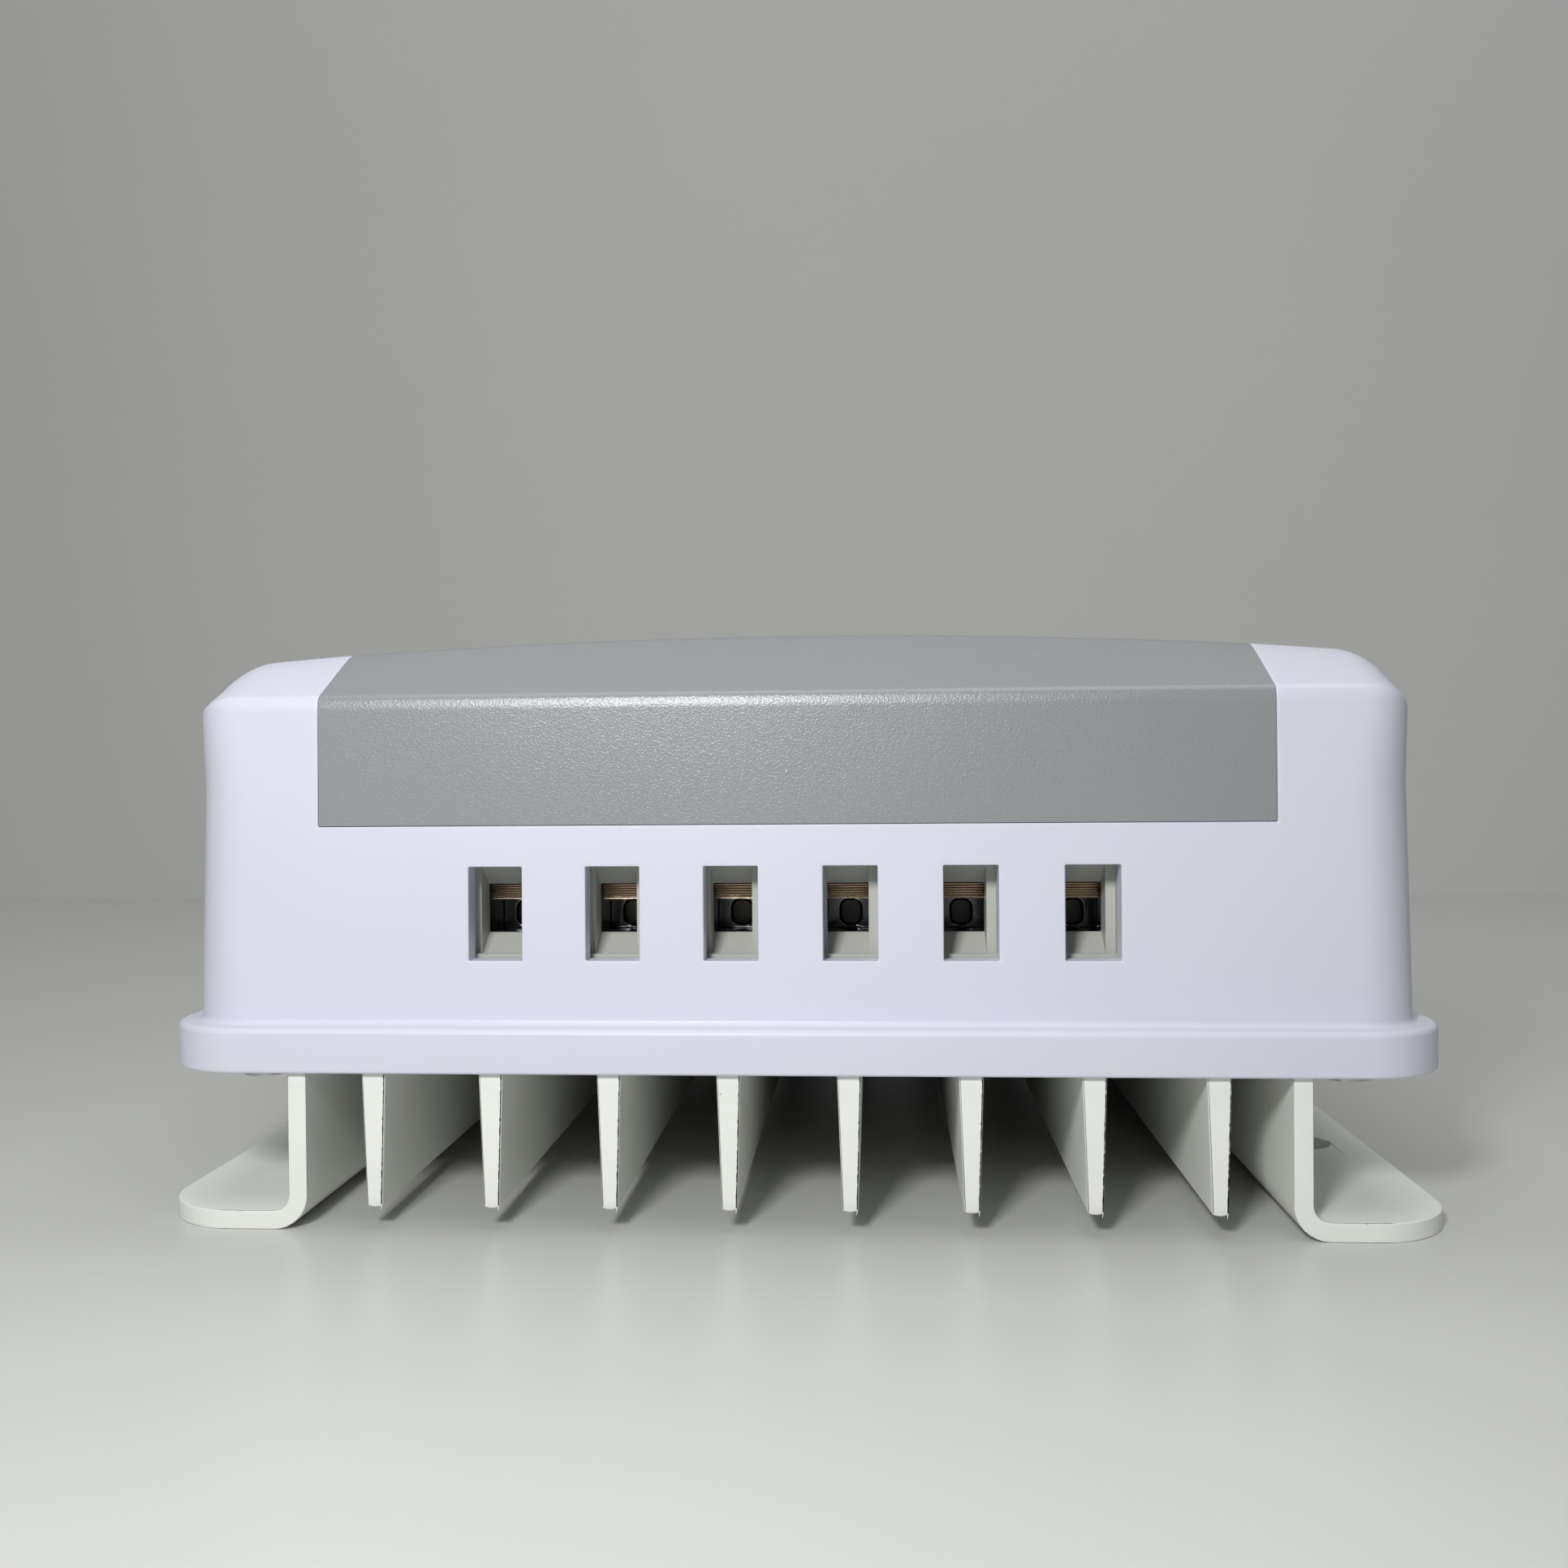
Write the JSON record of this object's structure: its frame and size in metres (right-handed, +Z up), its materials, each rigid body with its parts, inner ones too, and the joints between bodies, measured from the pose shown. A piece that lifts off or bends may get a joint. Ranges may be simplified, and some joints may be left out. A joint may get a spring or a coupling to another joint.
{
  "type": "solar charge controller",
  "caption": "Finned aluminium heatsink on turned-out mounting feet under a drafted plastic cover, with screw clamps behind wiring openings, a display and keys.",
  "frame": {"origin": "under the middle of the unit, on the plane that its feet rest on", "axes": "+Z up out of the mounting surface, -Y towards the wiring openings, +X to the right of the openings as seen from in front of them"},
  "size_m": [0.164, 0.2092, 0.0764],
  "materials": {
    "cover_white": "satin moulded plastic",
    "panel_grey": "fine spark-textured moulded plastic",
    "coated_aluminium": "white powder coat on extruded aluminium",
    "window_clear": "clear window, dark when off",
    "key_plastic": "satin",
    "display_dark": "liquid crystal glass, off",
    "board_green": "solder mask",
    "black_plastic": "moulded",
    "terminal_grey": "moulded",
    "terminal_nickel": "nickel plated brass",
    "fastener_steel": "zinc plated",
    "bar_steel": "plain strip",
    "pad_grey": "soft thermal pad",
    "ferrite": "coated powder core",
    "copper_wire": "enamelled copper",
    "capacitor_sleeve": "sleeved can",
    "fuse_orange": "translucent fuse body",
    "cable_grey": "flat cable"
  },
  "bodies": {
    "housing": {"heatsink": "coated_aluminium", "cover": "cover_white", "face_panel": "panel_grey", "display_window": "window_clear", "display_module": "display_dark", "display_board": "board_green", "key_switches": "black_plastic", "display_screws": "fastener_steel", "main_board": "board_green", "board_standoffs": "terminal_nickel", "board_screws": "fastener_steel", "power_transistors": "black_plastic", "thermal_pads": "pad_grey", "clamp_bars": "bar_steel", "clamp_bar_screws": "fastener_steel", "choke_core_1": "ferrite", "choke_core_2": "ferrite", "choke_winding_1": "copper_wire", "choke_winding_2": "copper_wire", "capacitor_1": "capacitor_sleeve", "capacitor_2": "capacitor_sleeve", "capacitor_3": "capacitor_sleeve", "capacitor_4": "capacitor_sleeve", "control_chip": "black_plastic", "fuses": "fuse_orange", "ribbon_cable": "cable_grey", "ribbon_sockets": "black_plastic", "terminal_block": "terminal_grey", "terminal_cage_1": "terminal_nickel", "terminal_cage_2": "terminal_nickel", "terminal_cage_3": "terminal_nickel", "terminal_cage_4": "terminal_nickel", "terminal_cage_5": "terminal_nickel", "terminal_cage_6": "terminal_nickel", "cover_screws": "fastener_steel", "panel_screws": "fastener_steel"},
    "key_1": {"key_1": "key_plastic"},
    "key_2": {"key_2": "key_plastic"},
    "key_3": {"key_3": "key_plastic"},
    "key_4": {"key_4": "key_plastic"},
    "clamp_1": {"clamp_plate_1": "terminal_nickel"},
    "screw_1": {"terminal_screw_1": "fastener_steel"},
    "clamp_2": {"clamp_plate_2": "terminal_nickel"},
    "screw_2": {"terminal_screw_2": "fastener_steel"},
    "clamp_3": {"clamp_plate_3": "terminal_nickel"},
    "screw_3": {"terminal_screw_3": "fastener_steel"},
    "clamp_4": {"clamp_plate_4": "terminal_nickel"},
    "screw_4": {"terminal_screw_4": "fastener_steel"},
    "clamp_5": {"clamp_plate_5": "terminal_nickel"},
    "screw_5": {"terminal_screw_5": "fastener_steel"},
    "clamp_6": {"clamp_plate_6": "terminal_nickel"},
    "screw_6": {"terminal_screw_6": "fastener_steel"}
  },
  "joints": [
    {"name": "key_1_press", "type": "slide", "parent": "housing", "child": "key_1", "axis": [0, 0, 1], "range_m": [-0.0005, 0], "stiffness_N_per_m": 400, "springref_m": 0.001},
    {"name": "key_2_press", "type": "slide", "parent": "housing", "child": "key_2", "axis": [0, 0, 1], "range_m": [-0.0005, 0], "stiffness_N_per_m": 400, "springref_m": 0.001},
    {"name": "key_3_press", "type": "slide", "parent": "housing", "child": "key_3", "axis": [0, 0, 1], "range_m": [-0.0005, 0], "stiffness_N_per_m": 400, "springref_m": 0.001},
    {"name": "key_4_press", "type": "slide", "parent": "housing", "child": "key_4", "axis": [0, 0, 1], "range_m": [-0.0005, 0], "stiffness_N_per_m": 400, "springref_m": 0.001},
    {"name": "clamp_1_slide", "type": "slide", "parent": "housing", "child": "clamp_1", "axis": [0, 0, 1], "range_m": [-0.0046, 0]},
    {"name": "screw_1_turn", "type": "hinge", "parent": "clamp_1", "child": "screw_1", "pos_m": [-0.0375, -0.0877, 0.0475], "axis": [0, 0, 1], "range_deg": [-2365.7, 0]},
    {"name": "clamp_2_slide", "type": "slide", "parent": "housing", "child": "clamp_2", "axis": [0, 0, 1], "range_m": [-0.0046, 0]},
    {"name": "screw_2_turn", "type": "hinge", "parent": "clamp_2", "child": "screw_2", "pos_m": [-0.0225, -0.0877, 0.0475], "axis": [0, 0, 1], "range_deg": [-2365.7, 0]},
    {"name": "clamp_3_slide", "type": "slide", "parent": "housing", "child": "clamp_3", "axis": [0, 0, 1], "range_m": [-0.0046, 0]},
    {"name": "screw_3_turn", "type": "hinge", "parent": "clamp_3", "child": "screw_3", "pos_m": [-0.0075, -0.0877, 0.0475], "axis": [0, 0, 1], "range_deg": [-2365.7, 0]},
    {"name": "clamp_4_slide", "type": "slide", "parent": "housing", "child": "clamp_4", "axis": [0, 0, 1], "range_m": [-0.0046, 0]},
    {"name": "screw_4_turn", "type": "hinge", "parent": "clamp_4", "child": "screw_4", "pos_m": [0.0075, -0.0877, 0.0475], "axis": [0, 0, 1], "range_deg": [-2365.7, 0]},
    {"name": "clamp_5_slide", "type": "slide", "parent": "housing", "child": "clamp_5", "axis": [0, 0, 1], "range_m": [-0.0046, 0]},
    {"name": "screw_5_turn", "type": "hinge", "parent": "clamp_5", "child": "screw_5", "pos_m": [0.0225, -0.0877, 0.0475], "axis": [0, 0, 1], "range_deg": [-2365.7, 0]},
    {"name": "clamp_6_slide", "type": "slide", "parent": "housing", "child": "clamp_6", "axis": [0, 0, 1], "range_m": [-0.0046, 0]},
    {"name": "screw_6_turn", "type": "hinge", "parent": "clamp_6", "child": "screw_6", "pos_m": [0.0375, -0.0877, 0.0475], "axis": [0, 0, 1], "range_deg": [-2365.7, 0]}
  ],
  "couplings": [
    {"joint": "screw_1_turn", "follows": "clamp_1_slide", "rad_per_m": 8976},
    {"joint": "screw_2_turn", "follows": "clamp_2_slide", "rad_per_m": 8976},
    {"joint": "screw_3_turn", "follows": "clamp_3_slide", "rad_per_m": 8976},
    {"joint": "screw_4_turn", "follows": "clamp_4_slide", "rad_per_m": 8976},
    {"joint": "screw_5_turn", "follows": "clamp_5_slide", "rad_per_m": 8976},
    {"joint": "screw_6_turn", "follows": "clamp_6_slide", "rad_per_m": 8976}
  ]
}
